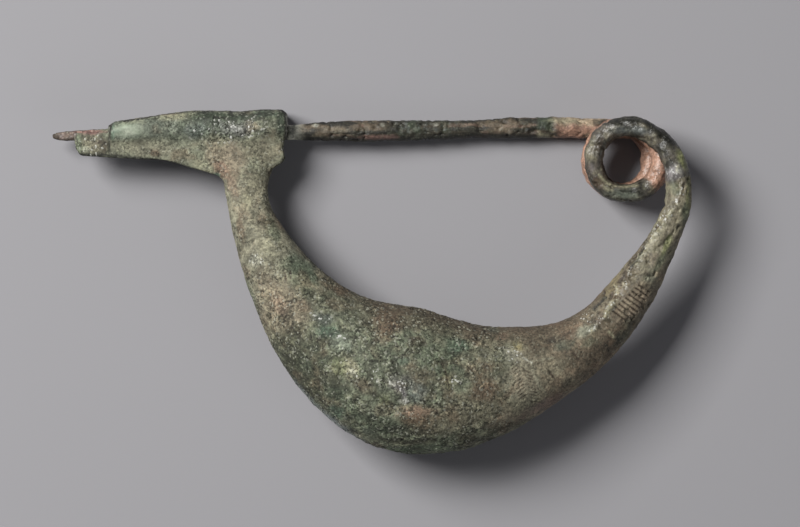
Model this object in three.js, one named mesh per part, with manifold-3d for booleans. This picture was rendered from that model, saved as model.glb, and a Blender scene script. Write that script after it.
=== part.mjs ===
// A bronze leech-bow brooch (a fibula) lying on its side, in millimetres, with +Z up.
// It was worked from one piece of metal: a catch-plate rolled over the pin, a bow that swells
// like a leech, a spring of two and a quarter turns, and the pin. So it is one solid.
import * as THREE from 'three';
import { mergeVertices } from 'three/addons/utils/BufferGeometryUtils.js';
import Module from 'manifold-3d';

const wasm = await Module();
wasm.setup();

// ---------------------------------------------------------------- driving dimensions
const SIDES = 20; // sides of every section along the bow, the spring and the pin
const RING_STEP = 1.7; // length between two sections on the bow and the pin
const SMOOTHING = 4; // passes that even out the bends at the stations of the bow
const MIDDLE = 6.9; // height of the bow's middle line above the ground

// The bow from its neck to its thin end. Each row: x, y, height of the middle line, half of
// the width seen from above, and the depth as a share of that width.
const BOW = [
  [-15.5, 17.0, 4.95, 4.1, 0.175],
  [-15.7, 15.0, 4.95, 3.4, 0.24],
  [-16.0, 13.2, 5.0, 2.65, 0.40],
  [-16.1, 11.2, 5.3, 2.55, 0.60],
  [-15.35, 8.4, 5.8, 2.7, 0.76],
  [-13.85, 4.7, 6.4, 3.45, 0.80],
  [-9.95, -2.0, MIDDLE, 5.05, 0.80],
  [-4.6, -8.0, MIDDLE, 7.25, 0.79],
  [3.2, -12.2, MIDDLE, 9.4, 0.775],
  [11.4, -13.0, MIDDLE, 8.15, 0.80],
  [19.4, -11.2, MIDDLE, 5.7, 0.85],
  [27.1, -7.55, MIDDLE, 3.65, 0.92],
  [32.5, -1.35, MIDDLE, 2.95, 0.96],
  [36.5, 5.35, 7.0, 1.88, 1],
  [38.75, 10.6, 7.1, 1.64, 1],
];

// The spring: the wire winds down from the bow to the pin about an upright axis.
const SPRING = {
  x: 31.65,
  y: 15.1,
  top: 7.15, // height of the wire where it leaves the bow
  pitch: 2.65, // drop in one turn
  wire: 1.25, // half the thickness of the wire
  bowWire: 1.52, // half the thickness at the bow's end
  swing: 2.0, // how much wider the first turn starts
  settle: 0.61, // angle, in radians, over which that swing and the extra thickness fade
  steps: 6, // sections in a quarter turn
};
// Radius of the turns at each quarter turn. They are uneven, as if wound by hand.
const TURN_RADII = [4.1, 4.1, 3.95, 4.2, 4.55, 4.2, 4.3, 4.0, 3.35, 4.1];

// The pin from the spring to its tip: x, y, height, half thickness.
const PIN = [
  [27.5, 19.2, 1.3, 1.27],
  [22.5, 19.33, 1.55, 1.28],
  [16.0, 19.2, 1.8, 1.26],
  [11.0, 19.05, 1.98, 1.1],
  [3.0, 18.85, 2.25, 1.3],
  [-5.2, 18.85, 2.55, 1.28],
  [-9.2, 18.7, 2.7, 0.97],
  [-20.0, 18.6, 2.8, 0.86],
  [-31.0, 18.42, 2.85, 0.76],
  [-36.8, 18.3, 2.85, 0.64],
  [-39.4, 18.15, 2.85, 0.5],
  [-40.2, 18.15, 2.85, 0.28],
];

// The flat front wall of the catch, from its broken left end round by the neck.
const PLATE = { front: 5.7, thickness: 1.4 };
const PLATE_OUTLINE = [
  [-37.4, 18.5], [-33.1, 18.5], [-32.2, 18.2], [-11.0, 18.2], [-11.0, 17.5], [-11.25, 16.4],
  [-10.9, 15.4], [-11.3, 14.9], [-13.0, 13.8], [-13.4, 12.6], [-18.7, 12.6], [-19.4, 13.2],
  [-21.5, 13.9], [-25.9, 15.05], [-31.7, 15.4], [-36.6, 15.75], [-37.1, 16.6],
];

// The roll that turns back over the pin: x, the top of the roll, and the foot of its front.
const ROLL = [
  [-33.0, 19.55, 17.0],
  [-32.3, 19.95, 16.95],
  [-29.0, 20.5, 17.1],
  [-26.0, 21.05, 17.35],
  [-22.0, 21.4, 17.5],
  [-16.5, 21.3, 17.5],
  [-13.9, 21.55, 17.5],
  [-11.4, 21.5, 17.5],
  [-10.7, 21.0, 17.6],
];
const ROLL_SECTION = {
  front: 6.3, // heights of its front and of its back above the ground
  back: -0.1,
  squareness: 3.2, // 2 gives an oval, and more a flatter front and back
  hollowRise: 1.1, // half the height of the channel that the pin lies in
  hollowDepth: 1.55, // half its depth
  from: -0.95, // angles, in radians from the front over the top, where the wall starts and ends
  to: 3.9,
  steps: 18,
};

// ---------------------------------------------------------------- helpers
// A closed mesh as a manifold solid.
function toSolid(geometry) {
  const bare = geometry.clone();
  bare.deleteAttribute('normal');
  bare.deleteAttribute('uv');
  const merged = mergeVertices(bare, 1e-5);
  return new wasm.Manifold(new wasm.Mesh({
    numProp: 3,
    vertProperties: new Float32Array(merged.attributes.position.array),
    triVerts: new Uint32Array(merged.index.array),
  }));
}

// A solid as a three.js geometry.
function toGeometry(solid) {
  const mesh = solid.getMesh();
  const geometry = new THREE.BufferGeometry();
  geometry.setAttribute('position', new THREE.BufferAttribute(mesh.vertProperties, 3));
  geometry.setIndex(new THREE.BufferAttribute(mesh.triVerts, 1));
  return geometry;
}

// A skin over a row of closed rings that all have the same number of points, with both ends
// closed. capPoints gives an end ring as flat points, from which its cap is triangulated.
function loft(rings, capPoints) {
  const count = rings[0].length;
  const positions = rings.flat().flatMap((point) => [point.x, point.y, point.z]);
  const index = [];
  for (let ring = 0; ring + 1 < rings.length; ring += 1) {
    for (let side = 0; side < count; side += 1) {
      const a = ring * count + side;
      const b = ring * count + ((side + 1) % count);
      index.push(a, b, a + count, b, b + count, a + count);
    }
  }
  const cap = THREE.ShapeUtils.triangulateShape(capPoints, []);
  const last = (rings.length - 1) * count;
  for (const [a, b, c] of cap) {
    index.push(c, b, a, last + a, last + b, last + c);
  }
  const geometry = new THREE.BufferGeometry();
  geometry.setAttribute('position', new THREE.Float32BufferAttribute(positions, 3));
  geometry.setIndex(index);
  return geometry;
}

// ---------------------------------------------------------------- bow, spring and pin
// Radius of the spring's turns at an angle, easing from one quarter turn to the next.
function turnRadius(angle) {
  const quarter = angle / (Math.PI / 2);
  const before = Math.min(Math.floor(quarter), TURN_RADII.length - 2);
  const ease = THREE.MathUtils.smoothstep(quarter - before, 0, 1);
  const even = THREE.MathUtils.lerp(TURN_RADII[before], TURN_RADII[before + 1], ease);
  return even + SPRING.swing * Math.exp(-angle / SPRING.settle);
}

function station(x, y, z, half, depth) {
  return { place: new THREE.Vector3(x, y, z), half, depth };
}

function springStations() {
  const quarters = TURN_RADII.length - 1;
  const list = [];
  for (let step = 0; step <= quarters * SPRING.steps; step += 1) {
    const angle = (step / SPRING.steps) * (Math.PI / 2);
    const radius = turnRadius(angle);
    const fade = Math.exp(-angle / SPRING.settle);
    list.push(station(
      SPRING.x + radius * Math.cos(angle),
      SPRING.y + radius * Math.sin(angle),
      SPRING.top - (SPRING.pitch * angle) / (2 * Math.PI),
      SPRING.wire + (SPRING.bowWire - SPRING.wire) * fade,
      1,
    ));
  }
  return list;
}

// Sections along a smooth line through hand-placed stations, none longer apart than the step.
function alongStations(stations) {
  const line = new THREE.CatmullRomCurve3(stations.map((s) => s.place), false, 'centripetal');
  const sizes = new THREE.CatmullRomCurve3(
    stations.map((s) => new THREE.Vector3(s.half, s.depth, 0)), false, 'catmullrom');
  const spans = stations.length - 1;
  const found = [];
  for (let span = 0; span < spans; span += 1) {
    const length = stations[span].place.distanceTo(stations[span + 1].place);
    const steps = Math.max(1, Math.round(length / RING_STEP));
    for (let step = 0; step < steps; step += 1) {
      const t = (span + step / steps) / spans;
      const size = sizes.getPoint(t);
      found.push({ place: line.getPoint(t), half: size.x, depth: size.y });
    }
  }
  found.push(stations[spans]);
  return found;
}

// The same sections with every bend and change of size evened out between its neighbours.
function smoothed(sections, passes) {
  let list = sections;
  for (let pass = 0; pass < passes; pass += 1) {
    const before = list;
    list = before.map((section, at) => {
      if (at === 0 || at === before.length - 1) return section;
      const [back, next] = [before[at - 1], before[at + 1]];
      const mid = back.place.clone().add(next.place).multiplyScalar(0.5);
      return {
        place: section.place.clone().lerp(mid, 0.5),
        half: section.half / 2 + (back.half + next.half) / 4,
        depth: section.depth / 2 + (back.depth + next.depth) / 4,
      };
    });
  }
  return list;
}

// Oval rings square to the line of the sections.
function ringsAlong(sections) {
  const up = new THREE.Vector3(0, 0, 1);
  return sections.map((section, at) => {
    const ahead = sections[Math.min(at + 1, sections.length - 1)].place;
    const behind = sections[Math.max(at - 1, 0)].place;
    const along = ahead.clone().sub(behind).normalize();
    const across = up.clone().cross(along).normalize();
    const rise = along.clone().cross(across);
    return Array.from({ length: SIDES }, (_, side) => {
      const turn = ((side + 0.5) / SIDES) * 2 * Math.PI;
      return section.place.clone()
        .addScaledVector(across, section.half * Math.cos(turn))
        .addScaledVector(rise, section.half * section.depth * Math.sin(turn));
    });
  });
}

// The whole line is one row of rings. It is cut into lengths that never cross themselves, each
// sharing its end ring with the next, and they are joined, so turns that touch grow together.
function wirework() {
  const spring = springStations();
  const bowStations = BOW.map((row) => station(...row));
  const bow = smoothed(alongStations([...bowStations, spring[0]]), SMOOTHING);
  const last = spring[spring.length - 1];
  const pin = alongStations([last, ...PIN.map((row) => station(...row, 1))]);
  const rings = ringsAlong([...bow.slice(0, -1), ...spring, ...pin.slice(1)]);
  const halfTurn = 2 * SPRING.steps;
  const cuts = [0, bow.length - 1 + halfTurn, bow.length - 1 + 3 * halfTurn, rings.length - 1];
  const cap = Array.from({ length: SIDES }, (_, side) => {
    const turn = (side / SIDES) * 2 * Math.PI;
    return new THREE.Vector2(Math.cos(turn), Math.sin(turn));
  });
  const lengths = cuts.slice(1).map((to, at) => toSolid(loft(rings.slice(cuts[at], to + 1), cap)));
  return lengths.reduce((whole, length) => whole.add(length));
}

// ---------------------------------------------------------------- catch-plate
function plate() {
  const outline = new THREE.Shape(PLATE_OUTLINE.map(([x, y]) => new THREE.Vector2(x, y)));
  const geometry = new THREE.ExtrudeGeometry(outline, {
    depth: PLATE.thickness,
    bevelEnabled: false,
  });
  geometry.translate(0, 0, PLATE.front - PLATE.thickness);
  return toSolid(geometry);
}

// Where the pin's middle line runs at one x: how far along y, and how high.
function pinAt(x) {
  const after = PIN.findIndex((row) => row[0] <= x);
  const [x0, y0, z0] = PIN[after - 1];
  const [x1, y1, z1] = PIN[after];
  const share = (x - x0) / (x1 - x0);
  return { y: THREE.MathUtils.lerp(y0, y1, share), z: THREE.MathUtils.lerp(z0, z1, share) };
}

// One section of the roll: the outer wall from the front over the top to the back, and the
// channel's wall the other way.
function rollRing([x, top, foot]) {
  const { front, back, squareness, hollowRise, hollowDepth, from, to, steps } = ROLL_SECTION;
  const pin = pinAt(x);
  const square = (value) => Math.sign(value) * Math.abs(value) ** (2 / squareness);
  const outer = [];
  const inner = [];
  for (let step = 0; step <= steps; step += 1) {
    const turn = THREE.MathUtils.lerp(from, to, step / steps);
    outer.push(new THREE.Vector3(
      x,
      (top + foot) / 2 + ((top - foot) / 2) * square(Math.sin(turn)),
      (front + back) / 2 + ((front - back) / 2) * square(Math.cos(turn)),
    ));
    inner.push(new THREE.Vector3(
      x,
      pin.y + hollowRise * Math.sin(turn),
      pin.z + hollowDepth * Math.cos(turn),
    ));
  }
  return [...outer, ...inner.reverse()];
}

function roll() {
  const rings = [...ROLL].reverse().map(rollRing);
  return toSolid(loft(rings, rings[0].map((point) => new THREE.Vector2(point.z, point.y))));
}

// ---------------------------------------------------------------- the brooch
// What would reach below the ground is taken off: the small flats that the brooch rests on.
function belowGround() {
  const slab = new THREE.BoxGeometry(120, 120, 10);
  slab.translate(0, 0, -5);
  return toSolid(slab);
}

function fibula() {
  const bronze = new THREE.MeshStandardMaterial({
    color: 0x6b6a52,
    roughness: 0.7,
    metalness: 0.35,
  });
  const solid = wirework().add(plate()).add(roll()).subtract(belowGround());
  const geometry = toGeometry(solid);
  // The origin is under the middle of the brooch, on the ground.
  geometry.computeBoundingBox();
  const middle = geometry.boundingBox.getCenter(new THREE.Vector3());
  geometry.translate(-middle.x, -middle.y, 0);
  geometry.computeVertexNormals();
  const mesh = new THREE.Mesh(geometry, bronze);
  mesh.name = 'fibula';
  return mesh;
}

const brooch = new THREE.Group();
brooch.add(fibula());

export default brooch;
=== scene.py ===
"""A bronze leech-bow brooch lying on its side: its worn metal, its patina and its crust.

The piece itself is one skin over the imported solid, made even, softened and worked on in
millimetres. Crumbs of crust are scattered over it by Geometry Nodes.
"""
import math

import bmesh
import bpy
import numpy as np
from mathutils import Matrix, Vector, kdtree, noise


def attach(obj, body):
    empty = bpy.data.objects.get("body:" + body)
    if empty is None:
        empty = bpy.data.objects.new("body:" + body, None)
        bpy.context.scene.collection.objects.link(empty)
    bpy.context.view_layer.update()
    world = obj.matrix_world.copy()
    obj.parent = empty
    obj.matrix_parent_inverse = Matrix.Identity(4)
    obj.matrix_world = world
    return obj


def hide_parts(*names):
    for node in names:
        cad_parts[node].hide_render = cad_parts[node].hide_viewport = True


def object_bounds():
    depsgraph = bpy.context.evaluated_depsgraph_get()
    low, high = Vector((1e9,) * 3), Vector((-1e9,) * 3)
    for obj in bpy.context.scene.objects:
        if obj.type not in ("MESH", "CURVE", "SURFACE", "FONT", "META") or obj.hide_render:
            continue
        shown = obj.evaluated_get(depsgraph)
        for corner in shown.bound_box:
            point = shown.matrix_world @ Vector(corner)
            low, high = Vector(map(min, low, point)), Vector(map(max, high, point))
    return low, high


MM = 0.001

# Sizes are in millimetres and angles in radians.
SKIN_NET = 0.15  # the skin's net before it is thinned
SKIN_TRIANGLES = 192000  # what is left of it
INSIDE = 0.01  # how far the skin stays inside the solid's own box
FLAT_UNDER = 0.03  # points lower than this lie on a flat
LINE_STEP = 0.3  # along the middle line of the bow and the pin
TURN_STEP = 0.06  # along the spring
CRUMB_RADIUS = 0.062
CRUMBS_PER_SQUARE_METRE = 3.0e6

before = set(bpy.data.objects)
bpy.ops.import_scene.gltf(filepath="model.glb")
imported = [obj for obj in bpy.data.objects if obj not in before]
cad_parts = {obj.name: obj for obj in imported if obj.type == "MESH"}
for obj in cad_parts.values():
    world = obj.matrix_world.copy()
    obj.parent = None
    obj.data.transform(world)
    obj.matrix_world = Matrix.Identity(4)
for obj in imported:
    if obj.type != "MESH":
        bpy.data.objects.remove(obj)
cad_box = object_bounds()

# ------------------------------------------------------------------ the brooch's middle line
# All places are in millimetres in the brooch's own frame: x along the pin, y from the bow to
# the pin, z up.
BOW_LINE = [
    (-15.4, 15.8, 4.9), (-15.9, 13.2, 5.0), (-16.0, 11.0, 5.3), (-15.2, 8.4, 5.8),
    (-13.7, 4.7, 6.4), (-9.8, -2.0, 6.9), (-4.5, -7.9, 6.9), (3.3, -12.3, 6.9),
    (11.5, -12.9, 6.9), (19.5, -11.1, 6.9), (27.1, -7.3, 6.9), (32.7, -1.3, 6.9),
    (36.9, 5.4, 7.0), (38.8, 10.6, 7.1),
]
SPRING_CENTRE = (31.75, 15.15)
SPRING_TOP = 7.15
SPRING_PITCH = 2.65
SPRING_RADII = [4.1, 4.1, 3.95, 4.2, 4.55, 4.2, 4.3, 4.0, 3.35, 4.1]  # one a quarter turn
PIN_LINE = [
    (27.6, 19.2, 1.3), (16.1, 19.2, 1.8), (3.1, 18.9, 2.25), (-9.1, 18.7, 2.7),
    (-20.0, 18.6, 2.8), (-31.0, 18.4, 2.85), (-40.2, 18.2, 2.85),
]
# Seen from above: the fold between the catch's roll and its plate, and where the tip begins.
FOLD = [(-32.4, 17.3), (-22.0, 17.4), (-11.2, 17.4)]
TIP_FROM = -38.0


def smooth_line(points):
    """Points one step apart on a smooth line through a few given ones."""
    p = np.array(points, float)
    p = np.vstack([2 * p[0] - p[1], p, 2 * p[-1] - p[-2]])
    out = []
    for a, b, c, d in zip(p, p[1:], p[2:], p[3:]):
        count = max(1, int(np.linalg.norm(c - b) / LINE_STEP))
        for t in np.arange(count) / count:
            out.append(0.5 * (2 * b + (c - a) * t + (2 * a - 5 * b + 4 * c - d) * t * t
                              + (3 * b - a - 3 * c + d) * t ** 3))
    out.append(p[-2])
    return np.array(out)


def spring_line():
    """The middle line of the wire from the bow down to the pin, wider where it leaves the bow."""
    quarters = len(SPRING_RADII) - 1
    angle = np.arange(0, quarters * math.pi / 2, TURN_STEP)
    radius = np.interp(angle / (math.pi / 2), np.arange(quarters + 1), SPRING_RADII)
    radius = radius + 2.0 * np.exp(-angle / 0.61)
    return np.column_stack([
        SPRING_CENTRE[0] + radius * np.cos(angle),
        SPRING_CENTRE[1] + radius * np.sin(angle),
        SPRING_TOP - SPRING_PITCH * angle / (2 * math.pi),
    ])


# ------------------------------------------------------------------ working on a mesh
def baked(obj):
    """Turns an object with modifiers into a plain mesh."""
    graph = bpy.context.evaluated_depsgraph_get()
    graph.update()
    mesh = bpy.data.meshes.new_from_object(obj.evaluated_get(graph))
    obj.modifiers.clear()
    obj.data = mesh
    return obj


def points_of(mesh):
    """The vertices of a mesh, in millimetres."""
    flat = np.empty(len(mesh.vertices) * 3, np.float32)
    mesh.vertices.foreach_get("co", flat)
    return flat.reshape(-1, 3).astype(float) / MM


def put_points(mesh, points):
    """Moves the vertices of a mesh to places in millimetres."""
    mesh.vertices.foreach_set("co", (points * MM).astype(np.float32).ravel())
    mesh.update()


def normals_of(mesh):
    flat = np.empty(len(mesh.vertices) * 3, np.float32)
    mesh.vertices.foreach_get("normal", flat)
    return flat.reshape(-1, 3).astype(float)


def step_up(value, low, high):
    """0 below low, 1 above high, and a smooth rise between."""
    t = np.clip((value - low) / (high - low), 0, 1)
    return t * t * (3 - 2 * t)


def share_group(obj, name, share, levels):
    """A vertex group that holds each point's share, in a few even levels."""
    group = obj.vertex_groups.new(name=name)
    for level in range(1, levels + 1):
        chosen = np.nonzero((share * levels).round().astype(int) == level)[0]
        group.add(chosen.tolist(), level / levels, "REPLACE")
    return name


def soften(obj, passes, group=""):
    """Evens the skin out with a number of passes, everywhere or where a group says."""
    smooth = obj.modifiers.new("soften", "SMOOTH")
    smooth.vertex_group = group
    smooth.factor = 0.5
    smooth.iterations = passes


def skin():
    """An even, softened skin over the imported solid."""
    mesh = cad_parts["fibula"].data.copy()
    edit = bmesh.new()
    edit.from_mesh(mesh)
    bmesh.ops.remove_doubles(edit, verts=edit.verts, dist=1e-7)
    edit.to_mesh(mesh)
    edit.free()
    obj = bpy.data.objects.new("brooch", mesh)
    bpy.context.collection.objects.link(obj)
    remesh = obj.modifiers.new("even skin", "REMESH")
    remesh.mode = "VOXEL"
    remesh.voxel_size = SKIN_NET * MM
    baked(obj)
    # the fold of the catch runs softly into its plate, and the belly is round
    p = points_of(obj.data)
    fold = (1 - step_up(gap_to_line(p, FOLD), 0.7, 1.5)) * step_up(p[:, 2], 3.5, 4.5)
    belly = step_up(14 - p[:, 1], 0, 6) * step_up(37 - p[:, 0], 0, 6)
    soften(obj, 90, share_group(obj, "fold", fold, 5))
    soften(obj, 160, share_group(obj, "belly", belly, 10))
    soften(obj, 5)
    baked(obj)
    obj.vertex_groups.clear()
    # softening draws the pin's point back, so it is drawn out again to its full length
    p = points_of(obj.data)
    reach = cad_box[0][0] / MM + 0.04
    share = (reach - TIP_FROM) / (p[:, 0].min() - TIP_FROM)
    p[:, 0] = np.where(p[:, 0] < TIP_FROM, TIP_FROM + (p[:, 0] - TIP_FROM) * share, p[:, 0])
    put_points(obj.data, p)
    return obj


# ------------------------------------------------------------------ the middle line, unrolled
def middle_line():
    """Places, directions, lengths and parts (0 bow, 1 spring, 2 pin) along the brooch."""
    runs = [smooth_line(BOW_LINE), spring_line(), smooth_line(PIN_LINE)]
    places = np.vstack(runs)
    part = np.repeat([0, 1, 2], [len(run) for run in runs])
    turns = np.concatenate([
        np.full(len(runs[0]), -1.0), np.arange(len(runs[1])) * TURN_STEP / (2 * math.pi),
        np.full(len(runs[2]), 3.0)])
    ways = np.gradient(places, axis=0)
    ways /= np.linalg.norm(ways, axis=1)[:, None]
    gaps = np.linalg.norm(np.diff(places, axis=0), axis=1)
    return places, ways, np.concatenate([[0], np.cumsum(gaps)]), part, turns


def unrolled(p):
    """For each point its length along the brooch, its place aside and above, and its part."""
    places, ways, lengths, part, turns = middle_line()
    tree = kdtree.KDTree(len(places))
    for index, place in enumerate(places.tolist()):
        tree.insert(place, index)
    tree.balance()
    near = np.array([tree.find(q)[1] for q in p.tolist()])
    off = p - places[near]
    way = ways[near]
    along = lengths[near] + (off * way).sum(axis=1)
    aside = off[:, 1] * way[:, 0] - off[:, 0] * way[:, 1]
    aside /= np.maximum(np.hypot(way[:, 0], way[:, 1]), 0.2)
    return np.column_stack([along, aside, off[:, 2]]), part[near], turns[near]


# ------------------------------------------------------------------ grain, lines and patches
def rough_field(points, size, octaves, seed):
    """Smooth noise from about -1 to 1 whose lumps are about the given size."""
    places = (points / size + 31.7 * (seed + 1)).tolist()
    return np.array([noise.fractal(q, 1.0, 2.0, octaves) for q in places])


def grain_field(points, size, seed):
    """Rounded grains from 0 between them to 1 on top, and one random number a grain."""
    top = np.empty(len(points))
    chance = np.empty(len(points))
    places = (points / size + 17.3 * (seed + 1)).tolist()
    for index, place in enumerate(places):
        gaps, seats = noise.voronoi(place)
        top[index] = gaps[1] - gaps[0]
        chance[index] = noise.cell(seats[0] * 7.7)
    return np.clip(top * 1.6, 0, 1), chance


def gap_to_line(p, points):
    """The distance, seen from above, from each point to a line through a few places."""
    best = np.full(len(p), 1e9)
    for (ax, ay), (bx, by) in zip(points, points[1:]):
        way = np.array([bx - ax, by - ay])
        t = ((p[:, 0] - ax) * way[0] + (p[:, 1] - ay) * way[1]) / (way @ way)
        t = np.clip(t, 0, 1)
        best = np.minimum(best, np.hypot(p[:, 0] - ax - t * way[0], p[:, 1] - ay - t * way[1]))
    return best


def gap_to_nearest(p, lines):
    """The distance, seen from above, from each point to the nearest of several lines."""
    return np.min([gap_to_line(p, line) for line in lines], axis=0)


def gap_to_patch(p, x, y, length, width, turn):
    """The distance to an oval patch seen from above: 0 in its middle and 1 on its edge."""
    c, s = math.cos(math.radians(turn)), math.sin(math.radians(turn))
    dx, dy = p[:, 0] - x, p[:, 1] - y
    return np.hypot((dx * c + dy * s) / length, (dy * c - dx * s) / width)


def strokes(first, last, count):
    """Evenly spread strokes between a first and a last one, each a pair of places."""
    first, last = np.array(first), np.array(last)
    return [(first + (last - first) * k / (count - 1)).tolist() for k in range(count)]


# The cut ornament: nine strokes across the narrow end of the bow, and two herringbone bands.
LIMB_STROKES = strokes([(30.15, -3.65), (32.35, -5.3)], [(33.45, -0.45), (34.85, -1.35)], 9)
BAND_STROKES = (
    strokes([(17.45, -10.45), (18.2, -9.85)], [(18.45, -14.65), (19.25, -14.05)], 11)
    + strokes([(19.05, -11.0), (19.85, -11.4)], [(20.1, -14.9), (21.05, -15.05)], 10)
)
# Fine lines in the metal: colour, depth (above 0 is cut in), half width and places.
MARKS = [
    ("sand", -0.05, 0.12, [(19.9, -10.1), (20.3, -11.5), (20.9, -12.8), (21.7, -13.8)]),
    ("sand", -0.03, 0.10, [(19.9, -9.95), (21.8, -9.6), (22.7, -9.5)]),
    ("chalk", -0.05, 0.10, [(2.1, -12.2), (2.6, -12.7), (3.1, -13.1)]),
    ("chalk", -0.04, 0.08, [(0.6, -11.6), (1.0, -12.2), (1.0, -12.7)]),
    ("umber", 0.10, 0.10, [(22.1, -11.1), (23.0, -12.3)]),
    ("umber", 0.06, 0.10, [(24.9, -8.6), (26.3, -10.2)]),
    ("umber", 0.06, 0.10, [(27.0, -8.9), (28.1, -10.0)]),
    ("chalk", -0.06, 0.11, [(18.9, -9.5), (20.0, -10.1)]),
    ("umber", 0.10, 0.10, [(28.9, -2.4), (29.1, -1.1)]),
    ("cream", -0.06, 0.14, [(29.6, -6.2), (30.3, -7.0)]),
    ("cream", -0.05, 0.14, [(30.3, -0.4), (30.7, -1.0), (30.4, -1.5)]),
    ("soot", 0.16, 0.13, [(32.5, 1.9), (33.5, 3.0), (34.0, 4.3)]),
    ("soot", 0.14, 0.12, [(27.7, -3.4), (28.6, -2.6), (29.2, -1.9)]),
    ("soot", 0.12, 0.10, [(-30.9, 20.0), (-28.8, 20.5), (-26.5, 20.85)]),
    ("soot", 0.18, 0.13, [(-32.75, 16.3), (-32.8, 17.8), (-32.6, 19.6)]),
    ("soot", 0.05, 0.16, [(-36.7, 15.9), (-32.9, 15.8), (-28.0, 15.3), (-24.0, 14.7)]),
    ("dark green", 0.05, 0.22, [(-21.4, 20.9), (-18.4, 20.8), (-17.2, 20.4), (-15.0, 20.6)]),
    ("soot", 0.08, 0.13, [(-19.6, 20.6), (-17.9, 20.4)]),
    ("soot", 0.16, 0.18, [(-10.75, 14.5), (-10.7, 18.0), (-10.6, 21.0)]),
    ("umber", 0.10, 0.08, [(-10.9, 1.4), (-10.6, 0.6), (-10.7, 0.0)]),
    ("umber", 0.08, 0.08, [(-10.1, 1.2), (-10.0, 0.4)]),
    # a painted reflection of the floor: the pale grey-blue line low on the belly's left side
    ("slate", -0.03, 0.28, [(-9.6, -12.5), (-6.5, -15.9), (-2.9, -18.6)]),
    ("dirt", 0.03, 0.20, [(1.0, -19.5), (4.0, -20.0), (8.0, -19.6)]),
    ("cream", -0.16, 0.16, [(-3.0, -0.5), (-2.2, -0.9), (-1.5, -1.5)]),
    ("lilac", -0.07, 0.20, [(2.9, -12.8), (3.7, -13.2), (4.2, -13.9), (4.1, -14.5)]),
    ("umber", 0.06, 0.10, [(8.7, -10.0), (9.3, -11.3), (9.6, -12.8)]),
    ("cream", -0.03, 0.13, [(28.5, 13.25), (29.6, 12.2), (31.3, 11.9), (33.4, 12.0)]),
    ("soot", 0.03, 0.12, [(30.6, 11.3), (32.0, 11.3), (33.6, 11.2)]),
    ("salmon", 0.02, 0.10, [(26.5, 16.2), (26.4, 14.5), (26.9, 12.6)]),
]
# Where crust has broken away beside the ridge.
HOLLOWS = [
    (27.9, -3.9), (29.0, -2.6), (30.2, -1.2), (31.5, 0.4), (32.5, 2.3), (33.3, 3.9),
    (34.6, 5.5), (35.8, 7.4),
]
# The bright worn ridge along the narrow end of the bow.
RIDGE = [
    (27.5, -6.2), (28.9, -4.7), (29.5, -3.6), (31.2, -1.1), (33.0, 2.1), (33.6, 3.4),
    (35.4, 5.7), (36.7, 7.4), (38.0, 9.5), (38.8, 11.4), (38.2, 14.3),
]

# Colours of patina, crust and worn metal, as the eye reads them.
PAINTS = {
    "sand": (144, 141, 121), "olive": (124, 127, 108), "green": (96, 110, 88),
    "dark green": (64, 74, 60), "teal": (86, 116, 100), "mint": (158, 168, 149),
    "tan": (132, 125, 105), "pink tan": (158, 144, 123), "salmon": (176, 138, 118),
    # "soot" is black crust, and also serves as painted shade on the pin, the spring and the catch
    "rust": (104, 82, 66), "umber": (62, 52, 42), "soot": (34, 34, 30),
    "cream": (178, 174, 144), "chalk": (205, 205, 190), "lilac": (146, 142, 144),
    "slate": (104, 112, 112), "lime": (140, 146, 96), "ochre": (132, 122, 82),
    "brown": (98, 87, 72), "rose": (160, 118, 112), "grey green": (112, 119, 106),
    "body": (102, 108, 90), "dull": (76, 79, 64), "coil": (88, 84, 77),
    # "rim" is the colour of a painted reflection of the floor
    "dirt": (52, 52, 41), "mauve": (122, 106, 98), "rim": (160, 167, 168),
}
# The bow's ground colour from the neck to the spring: length along it and colour.
BOW_GROUND = [
    (0, "sand", 1), (6, "sand", 1), (15, "sand", 0.96), (21, "tan", 0.95),
    (26, "body", 1), (44, "body", 1), (52, "tan", 0.9), (60, "brown", 1.1),
    (67, "brown", 1.08), (74, "tan", 0.9), (84, "tan", 0.92),
]
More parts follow.
